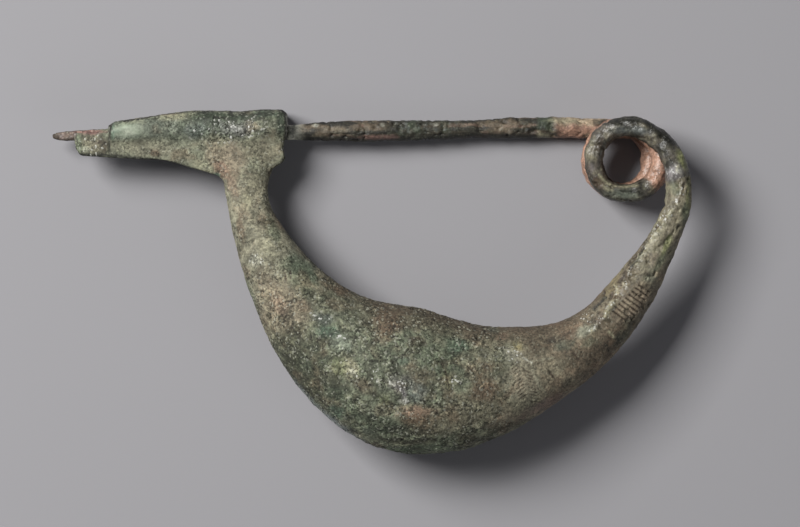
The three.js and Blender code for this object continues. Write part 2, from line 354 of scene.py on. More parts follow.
# Patches seen from above: colour, middle x and y, half length, half width, turn, strength.
PATCHES = [
    # the catch
    ("grey green", -24.0, 19.3, 9.5, 1.7, 3, 0.8), ("sand", -28.2, 16.6, 5.0, 1.2, -4, 0.8),
    ("mint", -30.6, 18.9, 2.1, 1.1, 5, 1.0), ("chalk", -30.3, 18.8, 0.8, 0.6, 0, 0.45),
    ("teal", -32.4, 18.8, 0.3, 1.2, 0, 0.5), ("grey green", -27.4, 19.3, 1.4, 1.2, 20, 0.6),
    ("cream", -24.2, 20.7, 2.6, 0.6, 4, 0.6), ("grey green", -24.8, 19.3, 0.6, 0.6, 0, 0.9),
    ("dark green", -20.0, 20.6, 2.6, 0.8, 3, 1.0), ("dark green", -17.6, 20.5, 0.9, 0.4, 0, 0.8),
    ("dark green", -15.2, 20.5, 1.3, 0.35, -6, 0.8), ("teal", -13.4, 21.0, 1.8, 0.5, 0, 0.4),
    ("dark green", -11.2, 20.2, 0.6, 1.8, 0, 0.9), ("grey green", -18.5, 19.0, 5.0, 1.4, 2, 0.8),
    ("lilac", -17.2, 18.9, 2.4, 0.9, 0, 0.55), ("chalk", -15.2, 19.0, 0.9, 0.6, 50, 0.35),
    ("slate", -22.0, 19.0, 1.6, 0.9, 0, 0.4),
    ("rust", -27.1, 16.1, 0.6, 0.5, 0, 0.6), ("pink tan", -18.2, 15.6, 3.4, 2.4, -35, 0.8),
    ("salmon", -18.7, 14.0, 1.2, 0.9, -50, 0.55), ("salmon", -17.4, 12.0, 0.7, 1.8, 20, 0.35),
    ("tan", -13.6, 16.3, 2.7, 1.8, 0, 0.7), ("cream", -21.2, 14.4, 1.7, 0.8, -18, 0.4),
    ("olive", -23.4, 16.8, 2.2, 1.2, -10, 0.5), ("teal", -19.3, 13.3, 0.4, 0.3, 0, 0.8),
    ("tan", -35.2, 17.0, 2.2, 1.5, 0, 0.7), ("umber", -33.6, 17.2, 0.5, 1.2, 15, 0.5),
    ("rose", -35.2, 18.75, 2.4, 0.35, 0, 0.9),
    ("green", -36.6, 17.2, 0.6, 1.3, 10, 0.5), ("chalk", -35.6, 16.6, 0.6, 0.4, 0, 0.5),
    # the neck and the left end of the bow
    ("tan", -14.6, 12.0, 1.4, 2.6, -10, 0.5), ("cream", -15.6, 9.9, 0.9, 1.2, 0, 0.5),
    ("rust", -16.3, 6.6, 0.5, 1.9, 12, 0.5), ("lime", -18.2, 7.5, 0.4, 2.4, 12, 0.3),
    ("green", -12.4, 6.5, 0.8, 2.2, 28, 0.45), ("chalk", -14.4, 2.6, 0.9, 0.7, 30, 0.45),
    ("cream", -13.0, 4.3, 1.2, 1.9, 20, 0.3), ("teal", -8.3, 1.6, 1.3, 2.4, 42, 0.35),
    ("green", -8.8, 0.4, 1.7, 3.2, 42, 0.5), ("pink tan", -11.2, -3.0, 2.5, 5.0, 30, 0.6),
    ("rust", -9.6, -6.4, 1.5, 1.0, 20, 0.45), ("green", -15.4, -1.8, 0.8, 3.2, 18, 0.5),
    ("cream", -12.0, -1.5, 1.6, 1.0, 0, 0.25), ("salmon", -11.6, -2.4, 1.0, 1.8, 20, 0.25),
    # the belly
    ("body", -4.0, -3.4, 3.4, 3.0, 0, 0.75), ("dull", -8.9, -11.0, 4.4, 5.4, 35, 1.0),
    ("dirt", -9.6, -9.4, 1.6, 1.3, 20, 0.5), ("dirt", -7.4, -12.8, 1.4, 1.8, 40, 0.5),
    ("dark green", -7.2, -9.7, 2.4, 1.8, 40, 0.45), ("dark green", -4.4, -6.2, 1.2, 0.9, 0, 0.4),
    ("mint", -3.7, -7.7, 1.4, 1.1, -30, 0.75), ("teal", -5.6, -6.2, 1.5, 0.8, 10, 0.5),
    ("slate", -6.0, -4.6, 1.7, 0.8, -20, 0.45), ("cream", -2.7, -10.6, 1.5, 1.2, -40, 0.9),
    ("chalk", -2.3, -11.2, 0.6, 0.45, -40, 0.6), ("lime", -4.1, -10.6, 1.0, 1.5, 20, 0.35),
    ("rust", 2.0, -4.9, 1.9, 2.8, -10, 0.75), ("rust", -3.6, -1.1, 1.3, 0.8, -30, 0.6),
    ("umber", 6.0, -7.5, 1.3, 0.8, 0, 0.75), ("rust", 4.3, -3.6, 1.4, 0.7, -15, 0.4),
    ("lilac", 3.2, -12.9, 1.7, 0.9, -35, 0.45), ("slate", 5.6, -13.6, 1.4, 1.5, 0, 0.6),
    ("lilac", 4.5, -12.0, 1.2, 0.5, 0, 0.4), ("chalk", 4.1, -14.9, 0.7, 0.3, -5, 1.0),
    ("salmon", 5.4, -16.2, 2.8, 0.95, 3, 0.6), ("rust", 5.6, -17.2, 2.0, 0.6, 0, 0.6),
    ("umber", 6.6, -18.2, 2.4, 1.2, 8, 0.5), ("teal", 11.2, -7.9, 1.9, 1.1, -10, 0.55),
    ("teal", 4.0, -9.9, 0.9, 0.7, 0, 0.35), ("teal", -4.2, -16.2, 1.2, 0.9, -45, 0.45),
    ("dark green", -4.0, -14.6, 2.6, 1.3, -42, 0.5), ("lime", 9.4, -12.0, 0.5, 1.5, 15, 0.45),
    ("cream", 10.2, -12.4, 0.8, 1.1, 20, 0.35), ("tan", 12.6, -15.6, 4.2, 3.2, 20, 0.6),
    ("rust", 14.0, -13.4, 2.1, 1.7, 10, 0.5), ("rust", 14.9, -10.6, 1.6, 0.7, 0, 0.35),
    ("umber", 14.2, -14.0, 1.2, 0.6, 15, 0.4), ("green", 5.0, -20.9, 4.6, 0.7, 2, 0.75),
    ("dark green", 1.0, -17.9, 3.8, 1.2, -12, 0.55), ("grey green", -0.6, -18.6, 0.8, 0.5, -30, 0.5),
    ("rust", -0.8, -12.9, 1.6, 0.9, -35, 0.4), ("umber", -1.9, -12.6, 1.2, 0.6, -40, 0.3),
    ("green", 8.5, -9.6, 3.0, 2.4, 0, 0.5), ("cream", 11.4, -5.4, 0.7, 0.4, -10, 0.6),
    ("cream", 6.6, -5.1, 0.9, 0.35, -5, 0.4), ("brown", 10.0, -4.2, 5.0, 1.3, -14, 0.75),
    ("umber", 12.0, -4.4, 4.0, 0.7, -12, 0.4), ("umber", 19.0, -5.3, 5.0, 0.6, 4, 0.35),
    ("brown", 18.5, -5.6, 6.0, 1.1, 2, 0.8), ("cream", 3.6, -20.2, 0.9, 0.3, 0, 0.5),
    ("tan", 9.0, -17.6, 3.2, 1.8, 15, 0.5), ("lime", 1.6, -14.6, 0.9, 0.7, 0, 0.25),
    # the plainer right half
    ("teal", 15.3, -6.0, 1.0, 0.5, -10, 0.7), ("salmon", 16.4, -6.8, 1.1, 0.5, 20, 0.5),
    ("ochre", 18.2, -8.1, 0.9, 0.8, 0, 0.6), ("umber", 21.3, -7.6, 2.4, 0.9, 4, 0.55),
    ("soot", 22.6, -7.4, 0.7, 0.4, 0, 0.5), ("chalk", 17.4, -9.0, 1.6, 1.1, -30, 0.35),
    ("sand", 18.6, -12.6, 2.4, 3.2, 0, 0.5), ("tan", 22.6, -11.6, 2.6, 2.8, 20, 0.9),
    ("pink tan", 18.9, -12.4, 1.6, 2.6, 10, 0.4),
    ("tan", 19.0, -15.6, 4.4, 1.2, 14, 0.6),
    ("mauve", 21.6, -15.4, 3.6, 0.8, 26, 0.8), ("pink tan", 17.0, -17.0, 4.6, 0.7, 16, 0.4),
    ("brown", 27.2, -9.9, 2.4, 1.4, 40, 0.5), ("brown", 29.0, -8.4, 1.8, 1.6, 40, 0.4),
    ("teal", 24.2, -7.9, 1.6, 0.7, 10, 0.25), ("mint", 26.4, -6.2, 1.5, 0.8, 30, 0.5),
    ("salmon", 23.0, -5.2, 1.6, 0.5, 10, 0.35), ("green", 26.9, -7.6, 1.2, 0.6, 30, 0.3),
    ("umber", 24.6, -6.4, 1.4, 0.5, 20, 0.4),
    # the narrow end up to the spring
    ("tan", 27.3, -3.9, 2.0, 1.0, 45, 0.6), ("ochre", 30.0, -0.4, 2.4, 0.6, 55, 0.4),
    ("pink tan", 32.3, -3.1, 3.0, 1.6, 50, 0.5), ("dull", 31.7, -6.2, 1.8, 0.9, 50, 0.6),
    ("pink tan", 34.9, 2.9, 1.2, 0.9, 60, 0.5), ("grey green", 34.8, 0.6, 1.2, 0.8, 60, 0.4),
    ("lime", 36.9, 4.6, 1.6, 0.4, 65, 0.7), ("green", 36.0, 2.3, 1.6, 0.5, 60, 0.4),
    ("umber", 34.2, 1.0, 0.7, 0.4, 0, 0.6), ("cream", 35.6, 7.2, 1.6, 0.5, 60, 0.4),
    ("lime", 39.6, 10.5, 0.4, 2.6, 0, 0.5), ("lime", 38.9, 15.2, 0.7, 1.6, 20, 0.65),
    ("tan", 38.2, 12.0, 1.0, 1.6, 0, 0.4),
    ("lilac", 37.7, 13.6, 1.4, 1.2, 10, 0.8), ("chalk", 38.4, 13.9, 0.5, 0.4, 0, 0.6),
    ("green", 38.0, 11.6, 1.0, 0.9, 0, 0.5), ("green", 39.2, 8.6, 0.5, 1.4, 0, 0.4),
    # the spring
    ("soot", 31.2, 20.0, 3.4, 0.6, 0, 0.85), ("soot", 35.8, 18.9, 2.8, 0.7, -38, 0.85),
    ("soot", 37.0, 17.3, 0.9, 1.0, 0, 0.6), ("slate", 33.4, 18.9, 1.6, 0.6, -10, 0.5),
    ("umber", 28.6, 17.1, 0.6, 1.0, -20, 0.6), ("umber", 27.0, 14.1, 0.6, 0.8, 0, 0.5),
    ("cream", 27.4, 15.6, 0.6, 0.6, 0, 0.4), ("cream", 26.9, 17.9, 0.9, 0.5, 50, 0.35),
    ("grey green", 31.8, 10.9, 2.6, 0.8, 0, 0.75),
    ("lilac", 27.5, 14.2, 0.5, 0.9, 0, 0.5), ("slate", 31.2, 18.9, 1.4, 0.6, 0, 0.5),
    ("tan", 27.0, 16.0, 0.8, 1.6, 0, 0.5), ("umber", 30.2, 18.0, 0.9, 0.5, 20, 0.6),
    ("rust", 28.3, 12.3, 0.9, 0.7, -40, 0.4),
    ("cream", 29.6, 11.6, 0.8, 0.3, -30, 0.5),
    # the pin
    ("chalk", -7.0, 19.6, 0.35, 0.2, 0, 0.9), ("chalk", 1.4, 19.6, 0.25, 0.2, 0, 0.7),
    ("chalk", 8.1, 19.7, 0.35, 0.2, 0, 0.8), ("rose", 1.0, 18.1, 3.0, 0.35, 0, 0.5),
    ("pink tan", -4.5, 19.0, 2.4, 0.5, 0, 0.5), ("pink tan", 16.6, 19.2, 1.2, 0.6, 0, 0.4),
    ("cream", 23.8, 20.2, 2.6, 0.3, 0, 0.5),
]


# Where bright crystals with a painted glint cluster: middle x and y, half length, half width, turn.
CRYSTALS = [
    (-3.7, -7.2, 1.5, 0.9, -30), (-2.6, -10.8, 1.3, 0.9, -40), (3.4, -12.9, 2.0, 1.1, -25),
    (-6.3, -4.4, 1.6, 0.8, -20), (17.4, -9.0, 1.5, 0.9, -30),
    (4.1, -14.9, 0.8, 0.4, 0), (0.4, -11.6, 1.4, 0.9, 0), (-14.4, 2.8, 1.0, 0.8, 0),
    (26.6, -4.8, 1.2, 0.7, 40), (37.6, 13.8, 1.1, 0.9, 0), (36.2, 7.4, 2.4, 0.7, 60),
    (-10.9, 16.2, 0.5, 2.0, 0), (10.2, -12.4, 0.9, 1.2, 20),
]
# Places with a surface of their own: middle x and y, half length, half width, turn.
MINT_SPOT = (-30.5, 18.9, 1.9, 1.0, 5)
GLASSY_BAND = (-18.3, 19.0, 5.2, 1.5, 2)
STUB = (-35.2, 16.9, 2.2, 1.6, 0)
CATCH_PIT = (-24.8, 19.3, 0.55, 0.5, 0)
PIN_CRUST = (6.5, 19.0, 4.4, 3.0, 0)
PIN_KNOB = (17.5, 18.6, 0.5, 0.35, 0)
PIN_SWELL = (6.0, 19.2, 4.2, 2.0, 0)
LIMB_FIELD = (32.6, -2.8, 2.6, 1.35, 48)
BAND_FIELD = (19.2, -12.5, 1.9, 2.7, 12)
# Where the skin's net is made finer, under the cut ornament.
FINER_PLACES = [(32.6, -2.8, 3.0, 1.9, 48), (19.3, -12.6, 2.9, 3.4, 0)]
# a painted reflection of the floor runs along this line, low on the belly's left side
FLOOR_REFLECTION_LINE = [(-9.9, -12.6), (-6.8, -16.0), (-3.0, -18.9), (-1.0, -20.1)]
# Kinds of unevenness over the whole skin: name, size in millimetres, octaves and seed.
FIELDS = [
    ("large", 4.5, 3, 1), ("lumps", 1.3, 3, 2), ("crust", 0.55, 2, 3), ("edge", 2.4, 3, 9),
    ("waves", 2.0, 2, 10), ("broad", 3.2, 4, 11), ("tint", 1.7, 4, 12), ("fine", 0.5, 2, 13),
    ("mottle", 1.1, 3, 14), ("islands", 2.6, 4, 15), ("flecks", 0.9, 3, 16),
    ("patches", 2.0, 4, 21),
]
# How many specks, spots of dust and single grains there are along a metre.
SPECKS, DUST_SPOTS, SINGLE_GRAINS = 3000.0, 900.0, 4600.0
# Single grains, and crystals whose pale colour is a painted glint, as the light they give back.
PALE_GRAIN = (0.50, 0.51, 0.38, 1)
DARK_GRAIN = (0.03, 0.032, 0.02, 1)
CRYSTAL_AND_PAINTED_GLINT = (0.72, 0.72, 0.68, 1)


# ------------------------------------------------------------------ zones and relief
def bell(gap, width):
    """1 where the gap is nothing, falling softly to 0 over about two widths."""
    return np.exp(-(gap / width) ** 2)


def fields_of(p, line):
    """The kinds of unevenness that the zones, the relief and the colours share."""
    field = {name: rough_field(p, size, octaves, seed) for name, size, octaves, seed in FIELDS}
    field["top"], field["chance"] = grain_field(p, 0.42, 4)
    drawn_out = np.column_stack([line[:, 0] * 0.14, line[:, 1], line[:, 2]])
    field["streaks"] = rough_field(drawn_out, 0.75, 3, 5)
    field["flakes"] = step_up(rough_field(p, 2.2, 4, 6), 0.04, 0.12)
    crack = 1 - step_up(np.abs(rough_field(p, 2.3, 4, 7)), 0.0, 0.06)
    field["crack"] = crack * step_up(rough_field(p, 4.0, 2, 8), -0.05, 0.25)
    return field


def zones_of(p, n, line, part, turns, field):
    """How much each point belongs to each kind of surface, 0 to 1."""
    x, y, _ = p.T
    along, edge = line[:, 0], field["edge"]
    above = step_up(n[:, 2], -0.15, 0.25)
    front = step_up(n[:, 2], -0.5, 0.2)
    catch = step_up(y, 12.2, 13.6) * step_up(-x, 10.5, 10.8)
    bow = (part == 0) * (1 - catch)
    right = bow * step_up(x + 2.0 * edge, 14.0, 18.5)
    # long drawn marks take over where the bow grows narrow
    narrow = bow * step_up(along, 62, 69)
    mint = gap_to_patch(p, *MINT_SPOT) + 0.25 * edge
    mint = catch * (1 - step_up(mint, 0.75, 1.15)) * above
    glassy = 1 - step_up(gap_to_patch(p, *GLASSY_BAND) + 0.3 * edge, 0.6, 1.2)
    stub = 1 - step_up(gap_to_patch(p, *STUB), 0.7, 1.2)
    patchy = step_up(field["patches"], -0.35, 0.35)
    rough = bow * (1 - right) * (1 - narrow)
    sandy = np.clip(catch * 0.6 + rough * step_up(along, -4, 26), 0, 1)
    sandy = np.maximum(sandy, 0.6 * rough) * (0.55 + 0.6 * patchy)
    return {
        "above": above,
        "front": front,
        "catch": catch,
        "mint": mint,
        "patchy": patchy,
        "drawn": np.clip(narrow + (part > 0) * (1 - catch), 0, 1),
        "plain": right * (1 - narrow),
        "glassy": catch * np.maximum(glassy, 0.45 * stub) * above,
        "sandy": sandy * (0.25 + 0.75 * front) * (1 - 0.85 * mint),
        "pin": (part == 2) * (1 - catch),
        "spring": (part == 1) * 1.0,
        "clean": step_up(turns + 0.02 * edge, 0.86, 0.89) * (part == 1),
    }


def relief_of(p, part, zone, field):
    """How far the skin stands out (above 0) or in, in millimetres.

    Notes in the field where the ridge, its hollows and the two kinds of strokes are.
    """
    large, lumps, crust, top = (field[name] for name in ("large", "lumps", "crust", "top"))
    sandy, plain, above = zone["sandy"], zone["plain"], zone["above"]
    out = 0.06 * large * zone["front"] + 0.05 * large
    # sandy crust with flakes, cracks and lost grains, and the plainer metal beside it
    out += sandy * (0.075 * lumps + 0.07 * crust + 0.055 * (top - 0.4))
    out += (sandy + 0.4 * plain) * (0.06 * field["flakes"] - 0.08 * field["crack"])
    out -= sandy * 0.11 * (field["chance"] > 0.9) * step_up(top, 0.1, 0.4)
    out += plain * (0.035 * lumps + 0.03 * crust - 0.05 * step_up(-crust, 0.45, 0.75))
    # the drawn metal of the narrow end, the spring and the pin
    hard = zone["drawn"] * (1 - 0.6 * zone["spring"])
    out += hard * (0.06 * field["streaks"] + 0.09 * lumps + 0.05 * crust)
    out -= hard * 0.18 * step_up(-lumps - 0.5 * crust, 0.30, 0.6)
    out += zone["spring"] * (0.10 * field["waves"] + 0.07 * lumps + 0.03 * crust)
    # glassy crystals on the catch
    crystals = 0.06 * (field["chance"] - 0.5) * step_up(top, 0, 0.3)
    out += zone["glassy"] * (0.10 * lumps + crystals)
    # the worn ridge, and where crust has broken away beside it
    field["ridge"] = gap_to_line(p, RIDGE)
    hollow = bell(gap_to_line(p, HOLLOWS), 0.5)
    field["hollow"] = hollow * step_up(crust + 0.5 * lumps, -0.05, 0.25)
    out += above * 0.21 * bell(field["ridge"], 0.34) * (0.6 + 1.0 * lumps + 0.6 * crust)
    out -= above * 0.26 * field["hollow"]
    # cut ornament and fine lines
    field["cut"] = bell(gap_to_nearest(p, LIMB_STROKES), 0.125) * (0.85 + 0.4 * lumps)
    field["thin"] = bell(gap_to_nearest(p, BAND_STROKES), 0.09) * (0.95 + 0.5 * lumps)
    out -= above * 0.21 * field["cut"]
    out -= above * 0.075 * field["thin"]
    for _, depth, width, places in MARKS:
        out -= above * depth * bell(gap_to_line(p, places) + 0.10 * crust, width)
    # a pit in the catch, and a knob and a crusted swelling on the pin
    out -= above * 0.16 * (1 - step_up(gap_to_patch(p, *CATCH_PIT), 0.5, 1.2))
    out += 0.22 * (1 - step_up(gap_to_patch(p, *PIN_KNOB), 0.2, 1.1)) * (p[:, 1] > 15)
    swell = 1 - step_up(gap_to_patch(p, *PIN_SWELL), 0.5, 1.1)
    out += 0.07 * swell * (part == 2) * crust
    smooth = zone["mint"]
    return out * (1 - 0.8 * smooth) + 0.05 * large * smooth


# ------------------------------------------------------------------ patina
def painted(colour, amount, name):
    """The ground colour with some of one paint laid over it."""
    paint = np.array(PAINTS[name], float)
    return colour + (paint - colour) * np.clip(amount, 0, 1)[:, None]


def ground_colours(line, zone, field):
    """The bow's ground colour along its length, and those of the spring and the catch."""
    lengths = [length for length, _, _ in BOW_GROUND]
    grounds = np.array([np.array(PAINTS[name]) * light for _, name, light in BOW_GROUND])
    shifted = line[:, 0] + 2.5 * field["edge"]
    colour = np.column_stack([np.interp(shifted, lengths, grounds[:, k]) for k in range(3)])
    colour = painted(colour, zone["spring"], "coil")
    return painted(colour, zone["catch"], "olive")


def pin_colours(colour, p, n, zone, field):
    """Brown and pink metal under dark streaks, a salmon root, a mauve tip, and painted shade and
    light.
    """
    x, y, z = p.T
    pin = zone["pin"]
    streaks, tint, fine = field["streaks"], field["tint"], field["fine"]
    colour = painted(colour, pin, "brown")
    colour = painted(colour, pin * step_up(streaks + 0.3 * tint, -0.05, 0.3) * 0.8, "soot")
    pink = step_up(-streaks + 0.8 * field["broad"], 0.3, 0.7)
    colour = painted(colour, pin * pink * 0.35, "rose")
    colour = painted(colour, pin * step_up(fine + 0.6 * tint, 0.1, 0.7) * 0.5, "dirt")
    crusty = pin * (1 - step_up(gap_to_patch(p, *PIN_CRUST) + 0.4 * tint, 0.6, 1.2))
    colour = painted(colour, crusty * 0.7, "dirt")
    colour = painted(colour, crusty * step_up(tint, 0.1, 0.4) * 0.6, "dark green")
    colour = painted(colour, crusty * step_up(fine, 0.2, 0.5) * 0.5, "slate")
    # painted shade on the lower side, turned from the light; dark crust in flecks on the upper side
    colour = painted(colour, pin * step_up(-n[:, 1], 0.25, 0.8) * 0.75, "soot")
    upper_side = pin * step_up(n[:, 1], 0.6, 0.9) * step_up(field["flecks"], -0.1, 0.3)
    colour = painted(colour, upper_side * 0.5, "soot")
    # pale crust by the catch, painted paler still: painted light against the roll's shadow
    colour = painted(colour, pin * (1 - step_up(x, -9.6, -8.0)) * (x > -12), "chalk")
    # the root beside the spring, and the dark crust that ends there
    root = step_up(x + 0.8 * tint, 22.3, 23.6) * step_up(y, 17.0, 17.6) * (x < 30) * (z < 5)
    colour = painted(colour, root * 0.85, "salmon")
    colour = painted(colour, root * step_up(y + 0.5 * fine, 19.3, 19.9) * 0.5, "cream")
    step = step_up(x + 0.3 * fine, 20.6, 21.0) * (1 - step_up(x, 22.4, 23.4)) * pin
    colour = painted(colour, step * step_up(y + 0.4 * fine, 18.9, 19.3) * 0.7, "dark green")
    colour = painted(colour, step * step_up(-y + 0.4 * fine, -19.0, -18.6) * 0.6, "cream")
    # the tip beyond the catch
    tip = (x < -37.0) * 1.0
    colour = painted(colour, tip, "mauve")
    colour = painted(colour, tip * step_up(streaks + fine, 0.0, 0.4) * 0.5, "lilac")
    return painted(colour, tip * step_up(-x - 0.4 * fine, 38.9, 39.5) * 0.7, "umber")


def spring_colours(colour, n, zone, field):
    """Black and brown wire, painted shade on its steep sides, and the clean pink metal of the lower
    turns.
    """
    spring, clean = zone["spring"], zone["clean"]
    streaks, tint, fine = field["streaks"], field["tint"], field["fine"]
    black = step_up(0.5 * streaks + 1.3 * tint + 0.3 * fine, 0.05, 0.5)
    colour = painted(colour, spring * black * 0.7, "soot")
    brown = step_up(-0.4 * streaks - 1.3 * tint + 0.4 * fine, 0.05, 0.5)
    colour = painted(colour, spring * brown * 0.65, "tan")
    colour = painted(colour, spring * step_up(field["flecks"], 0.25, 0.45) * 0.5, "sand")
    # painted shade: the wire's steep sides are darkened
    colour = painted(colour, spring * (1 - step_up(n[:, 2], 0.15, 0.55)) * 0.5, "soot")
    colour = painted(colour, clean * 0.95, "salmon")
    return painted(colour, clean * step_up(fine + 0.5 * tint, 0.30, 0.8) * 0.35, "rust")


def crust_colours(colour, p, n, line, part, zone, field):
    """Mottled crust with its patches, the catch's dark crust and painted shade, and cloudy changes of
    tone.
    """
    x, y, _ = p.T
    broad, tint, fine, flecks = (field[name] for name in ("broad", "tint", "fine", "flecks"))
    mottle = field["mottle"]
    crusted = np.clip(zone["sandy"] + 0.45 * zone["plain"], 0, 1) * (1 - 0.7 * zone["catch"])
    colour = painted(colour, 0.45 * crusted * step_up(field["islands"], 0.12, 0.30), "brown")
    colour = painted(colour, 0.58 * crusted * step_up(mottle, 0.15, 0.35), "dirt")
    colour = painted(colour, 0.42 * crusted * step_up(-mottle, 0.20, 0.45), "sand")
    # patches with ragged edges, on the upper side alone
    jitter = 0.32 * tint + 0.22 * fine
    upper = zone["above"] * (1 - zone["clean"])
    for name, *place, strength in PATCHES:
        gap = gap_to_patch(p, *place) + jitter
        near = np.nonzero(gap < 1.3)[0]
        amount = (1 - step_up(gap[near], 0.45, 1.25)) * strength * upper[near]
        colour[near] = painted(colour[near], amount, name)
    # dark crust on the roll's upper side
    roll = zone["catch"] * step_up(y, 19.7, 20.4) * step_up(x, -25.0, -24.0)
    colour = painted(colour, roll * step_up(flecks + 0.5 * fine, -0.05, 0.25) * 0.6, "soot")
    # the catch's walls at its left end and upper edge are darkened: partly its dark crust, partly
    # painted shade
    rim = zone["catch"] * (1 - step_up(n[:, 2], 0.1, 0.45)) * step_up(flecks, -0.45, -0.05)
    rim *= np.maximum(step_up(-x, 25.0, 28.0), step_up(n[:, 1], 0.2, 0.6))
    colour = painted(colour, rim * 0.8, "soot")
    # a second, finer mottling over the patches
    colour = painted(colour, 0.32 * crusted * step_up(flecks, 0.2, 0.45), "dirt")
    colour = painted(colour, 0.22 * crusted * step_up(-flecks, 0.25, 0.5), "cream")
    # cloudy changes of tone and hue, less green near the catch
    metal = (1 - zone["spring"]) * (1 - zone["pin"])
    green = step_up(broad, 0.1, 0.6) * (0.3 + 0.3 * zone["sandy"]) * metal
    green *= 1 - 0.7 * step_up(26 - line[:, 0], 0, 6) * (part == 0)
    colour = painted(colour, 0.45 * green, "green")
    warm = step_up(-broad + 0.4 * tint, 0.2, 0.8)
    warm *= (1 - 0.7 * zone["spring"]) * (1 - zone["pin"])
    colour = painted(colour, 0.35 * warm, "rust")
    flake = field["flakes"] * (zone["sandy"] + 0.6 * zone["plain"]) * (1 - zone["mint"])
    tone = 1 + 0.20 * (flake - 0.45) * (flake > 0) + 0.22 * tint + 0.12 * fine
    return colour * tone[:, None]


def wear_colours(colour, p, n, part, zone, field):
    """Dark in the cuts and hollows, pale on the ridges, the fine lines, a painted highlight and
    reflection.
    """
    above, fine, crust = zone["above"], field["fine"], field["crust"]
    inside = 1 - step_up(gap_to_patch(p, *LIMB_FIELD), 0.8, 1.1)
    colour = painted(colour, above * inside * (1 - field["cut"]) * 0.7, "pink tan")
    colour = painted(colour, above * step_up(field["cut"], 0.45, 0.85) * 0.92, "umber")
    colour = painted(colour, above * step_up(field["thin"], 0.4, 0.9) * 0.45, "umber")
    band = 1 - step_up(gap_to_patch(p, *BAND_FIELD), 0.8, 1.1)
    between_cuts = 1 - step_up(field["thin"], 0.1, 0.5)
    colour = painted(colour, above * band * between_cuts * 0.35, "sand")
    colour = painted(colour, above * step_up(field["hollow"], 0.25, 0.7) * 0.85, "umber")
    # the bow's inner side, which nothing rubs, stays brown
    inner = (part == 0) * (1 - zone["catch"])
    inner = inner * step_up(p[:, 0], -6, 0) * step_up(-p[:, 0], -30, -26)
    colour = painted(colour, 0.55 * inner * step_up(n[:, 1], 0.45, 0.80), "brown")
    colour = painted(colour, 0.30 * inner * step_up(n[:, 1], 0.60, 0.90), "umber")
    # the worn ridge is pale, and its chalk specks are painted highlights where it glints
    pale_and_painted_shine = above * bell(field["ridge"], 0.33) * step_up(field["lumps"] + 0.5 * fine, -0.1, 0.4)
    colour = painted(colour, pale_and_painted_shine * 0.75, "cream")
    colour = painted(colour, pale_and_painted_shine * step_up(fine, 0.1, 0.4) * 0.7, "chalk")
    upper = above * (1 - zone["clean"])
    for name, _, width, places in MARKS:
        gap = gap_to_line(p, places) + 0.12 * crust
        near = np.nonzero(gap < width * 2.5)[0]
        amount = bell(gap[near], 1.1 * width) * 0.85 * upper[near]
        colour[near] = painted(colour[near], amount, name)
    # a painted reflection of the floor: a pale line low on the belly's left side
    pale = bell(gap_to_line(p, FLOOR_REFLECTION_LINE) + 0.15 * crust, 0.36) * step_up(n[:, 2], -0.45, -0.1)
    return painted(colour, pale * 0.85, "rim")


def dirt_colours(colour, n, zone, field):
    """Long marks on drawn metal, dirt and painted shade in what lies low, cream on what stands high,
    shade below.
    """
    streaks, fine, crust = field["streaks"], field["fine"], field["crust"]
    drawn = zone["drawn"] * (1 - zone["spring"]) * (1 - zone["pin"])
    colour = painted(colour, drawn * step_up(streaks + 0.5 * fine, 0.2, 0.8) * 0.25, "cream")
    colour = painted(colour, drawn * step_up(-streaks + 0.6 * fine, 0.35, 0.9) * 0.4, "umber")
    # dirt in the pits, darkened more as painted shade there
    low = 0.22 * step_up(-crust, 0.1, 0.8) + 0.18 * (1 - field["top"])
    colour = painted(colour, zone["sandy"] * low, "dirt")
    high = step_up(crust + 0.4 * field["lumps"], 0.3, 1.0)
    colour = painted(colour, 0.25 * zone["sandy"] * high, "cream")
    crack = field["crack"] * (zone["sandy"] + 0.5 * zone["plain"])
    colour = painted(colour, 0.55 * crack, "dirt")
    # painted shade: what faces down is darker
    under = 1 - step_up(n[:, 2], -0.9, 0.0)
    return colour * (1 - 0.18 * under)[:, None]


def patina_of(p, n, line, part, zone, field):
    """The colour of every point, as the eye reads it, 0 to 255."""
    colour = ground_colours(line, zone, field)
    colour = pin_colours(colour, p, n, zone, field)
    colour = spring_colours(colour, n, zone, field)
    colour = crust_colours(colour, p, n, line, part, zone, field)
    colour = wear_colours(colour, p, n, part, zone, field)
    colour = dirt_colours(colour, n, zone, field)
    return np.clip(colour, 8, 240)


def light_of(colour):
    """What a surface of this colour gives back of the light that falls on it."""
    c = np.asarray(colour, float) / 255
    return np.where(c < 0.04045, c / 12.92, ((c + 0.055) / 1.055) ** 2.4)


# ------------------------------------------------------------------ the worked skin
def keep(mesh, name, values, kind="FLOAT"):
    """Keeps one value a vertex on the mesh, for the material and for the crumbs."""
    made = mesh.attributes.new(name, kind, "POINT")
    if kind == "FLOAT":
        made.data.foreach_set("value", values.astype(np.float32))
    elif kind == "FLOAT_VECTOR":
        made.data.foreach_set("vector", values.astype(np.float32).ravel())
    else:
        full = np.column_stack([values, np.ones(len(values))])
        made.data.foreach_set("color", full.astype(np.float32).ravel())


def finer(mesh, x, y, length, width, turn):
    """Makes the net of the skin finer under one patch of cut ornament."""
    edit = bmesh.new()
    edit.from_mesh(mesh)
    upper = [face for face in edit.faces if face.normal.z >= 0.1]
    middles = np.array([face.calc_center_median() for face in upper]) / MM
    inside = gap_to_patch(middles, x, y, length, width, turn) < 1
    edges = list({edge for face, is_in in zip(upper, inside) if is_in for edge in face.edges})
    bmesh.ops.subdivide_edges(edit, edges=edges, cuts=1, use_grid_fill=True)
    edit.to_mesh(mesh)
    edit.free()


